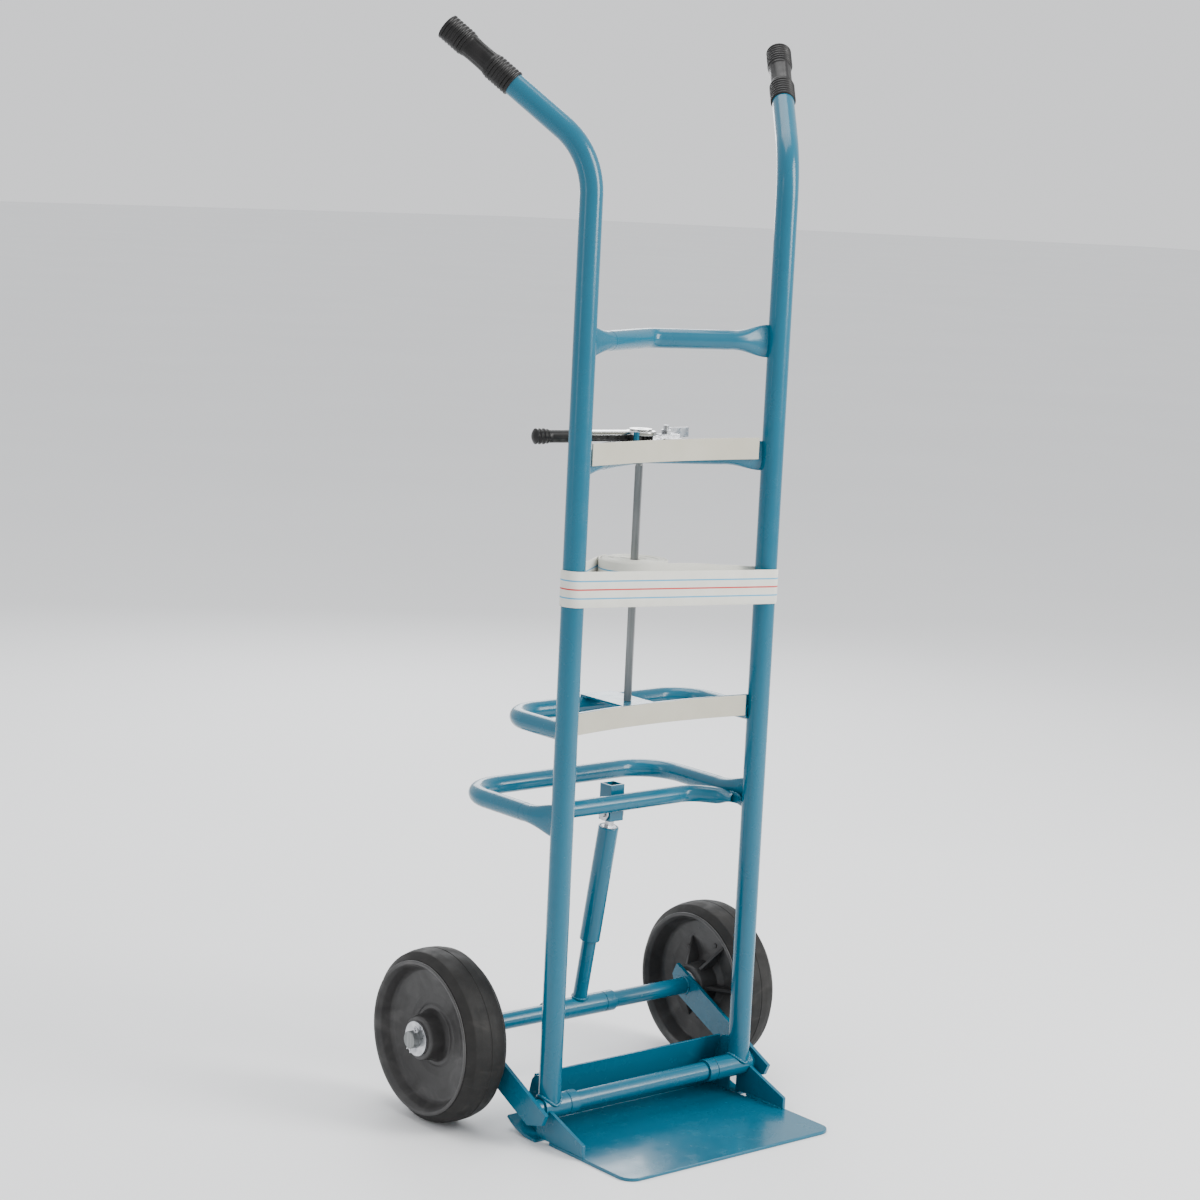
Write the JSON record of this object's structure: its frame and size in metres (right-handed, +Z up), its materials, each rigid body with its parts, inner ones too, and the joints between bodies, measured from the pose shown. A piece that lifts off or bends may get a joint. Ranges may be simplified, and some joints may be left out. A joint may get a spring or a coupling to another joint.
{
  "type": "appliance hand truck",
  "caption": "Tall two-wheeled hand truck with a toe plate, a swinging wheel carriage on a telescopic strut, rear loops and a ratchet strap winder.",
  "frame": {"origin": "underside of the toe plate, in the middle plane, below the uprights' axes", "axes": "+Z up, -Y to the front where the toe plate points, +Y to the back where the wheels are, +X to the right seen from the front"},
  "size_m": [0.6406, 0.476, 1.5496],
  "materials": {
    "frame_paint": "gloss powder coat, teal blue",
    "carriage_paint": "gloss powder coat, teal blue",
    "zinc": "bright zinc plate",
    "shaft_steel": "dull drawn steel",
    "ratchet_black": "blackened forged steel",
    "chrome": "bright nickel chrome",
    "grip_rubber": "black moulded vinyl, satin to gloss",
    "tyre_rubber": "dark solid rubber, satin",
    "wheel_plastic": "dark grey moulded nylon",
    "pad_plastic": "beige vinyl facing, satin",
    "webbing": "off-white woven webbing with thin blue and red stripes"
  },
  "bodies": {
    "frame": {"right_upright": "frame_paint", "left_upright": "frame_paint", "right_grip": "grip_rubber", "left_grip": "grip_rubber", "top_crossbar": "frame_paint", "winder_crossbar": "frame_paint", "lower_crossbar": "frame_paint", "upper_pad": "pad_plastic", "lower_pad": "pad_plastic", "upper_loop": "frame_paint", "lower_loop": "frame_paint", "lower_loop_brace": "frame_paint", "strut_socket": "frame_paint", "bearing_plate": "frame_paint", "toe_plate": "frame_paint", "heel_plate": "frame_paint", "heel_end_plates": "frame_paint", "right_gusset": "frame_paint", "left_gusset": "frame_paint", "right_rocker_shoe": "frame_paint", "left_rocker_shoe": "frame_paint", "right_pivot_sleeve": "frame_paint", "left_pivot_sleeve": "frame_paint", "strap": "webbing", "winder_bracket": "zinc", "pawl_bolt": "zinc", "pawl_nut": "zinc", "lever_stop": "frame_paint"},
    "carriage": {"pivot_tube": "carriage_paint", "pivot_collars": "carriage_paint", "right_arm": "carriage_paint", "left_arm": "carriage_paint", "axle_shaft": "carriage_paint", "axle_collars": "carriage_paint", "axle_washers": "zinc", "split_pins": "zinc"},
    "right_wheel": {"right_tyre": "tyre_rubber", "right_rim": "wheel_plastic", "right_hub_bush": "zinc"},
    "left_wheel": {"left_tyre": "tyre_rubber", "left_rim": "wheel_plastic", "left_hub_bush": "zinc"},
    "strut_lower": {"strut_sleeve": "carriage_paint", "strut_rod": "carriage_paint"},
    "strut_upper": {"strut_tube": "carriage_paint", "strut_tongue": "zinc", "strut_pin": "zinc", "strut_pin_washers": "zinc", "strut_pin_clip": "zinc"},
    "spool": {"winder_shaft": "shaft_steel", "ratchet_wheel": "ratchet_black", "hub_cap": "chrome", "strap_roll": "webbing"},
    "lever": {"lever_bar": "ratchet_black", "lever_shell": "chrome", "lever_grip": "grip_rubber", "drive_pawl_pin": "ratchet_black"},
    "drive_pawl_body": {"drive_pawl": "ratchet_black"},
    "holding_pawl_body": {"holding_pawl": "zinc", "release_tab": "zinc"}
  },
  "joints": [
    {"name": "carriage_swing", "type": "hinge", "parent": "frame", "child": "carriage", "pos_m": [0, 0, 0.05], "axis": [1, 0, 0], "range_deg": [-5, 18]},
    {"name": "right_wheel_spin", "type": "hinge", "parent": "carriage", "child": "right_wheel", "pos_m": [0.2513, 0.157, 0.125], "axis": [1, 0, 0], "continuous": true},
    {"name": "left_wheel_spin", "type": "hinge", "parent": "carriage", "child": "left_wheel", "pos_m": [-0.2593, 0.157, 0.125], "axis": [1, 0, 0], "continuous": true},
    {"name": "strut_foot_pivot", "type": "hinge", "parent": "carriage", "child": "strut_lower", "pos_m": [-0.004, 0.157, 0.125], "axis": [1, 0, 0], "range_deg": [-23, 6.5]},
    {"name": "strut_slide", "type": "slide", "parent": "strut_lower", "child": "strut_upper", "axis": [0.0129, -0.1581, 0.9873], "range_m": [-0.05, 0.0145]},
    {"name": "spool_spin", "type": "hinge", "parent": "frame", "child": "spool", "pos_m": [0, 0.084, 0.78], "axis": [0, 0, 1], "continuous": true},
    {"name": "lever_swing", "type": "hinge", "parent": "frame", "child": "lever", "pos_m": [0, 0.084, 0.984], "axis": [0, 0, 1], "range_deg": [-40, 22]},
    {"name": "drive_pawl_slide", "type": "slide", "parent": "lever", "child": "drive_pawl_body", "axis": [-0.9703, 0.2419, 0], "range_m": [-0.0017, 0]},
    {"name": "holding_pawl_rock", "type": "hinge", "parent": "frame", "child": "holding_pawl_body", "pos_m": [0.0595, 0.098, 0.98], "axis": [0, 0, 1], "range_deg": [-9, 3], "stiffness_Nm_per_rad": 0.05}
  ],
  "couplings": [
    {"joint": "strut_foot_pivot", "follows": "carriage_swing", "ratio": -1.25},
    {"joint": "strut_slide", "follows": "carriage_swing", "m_per_rad": -0.15742}
  ]
}
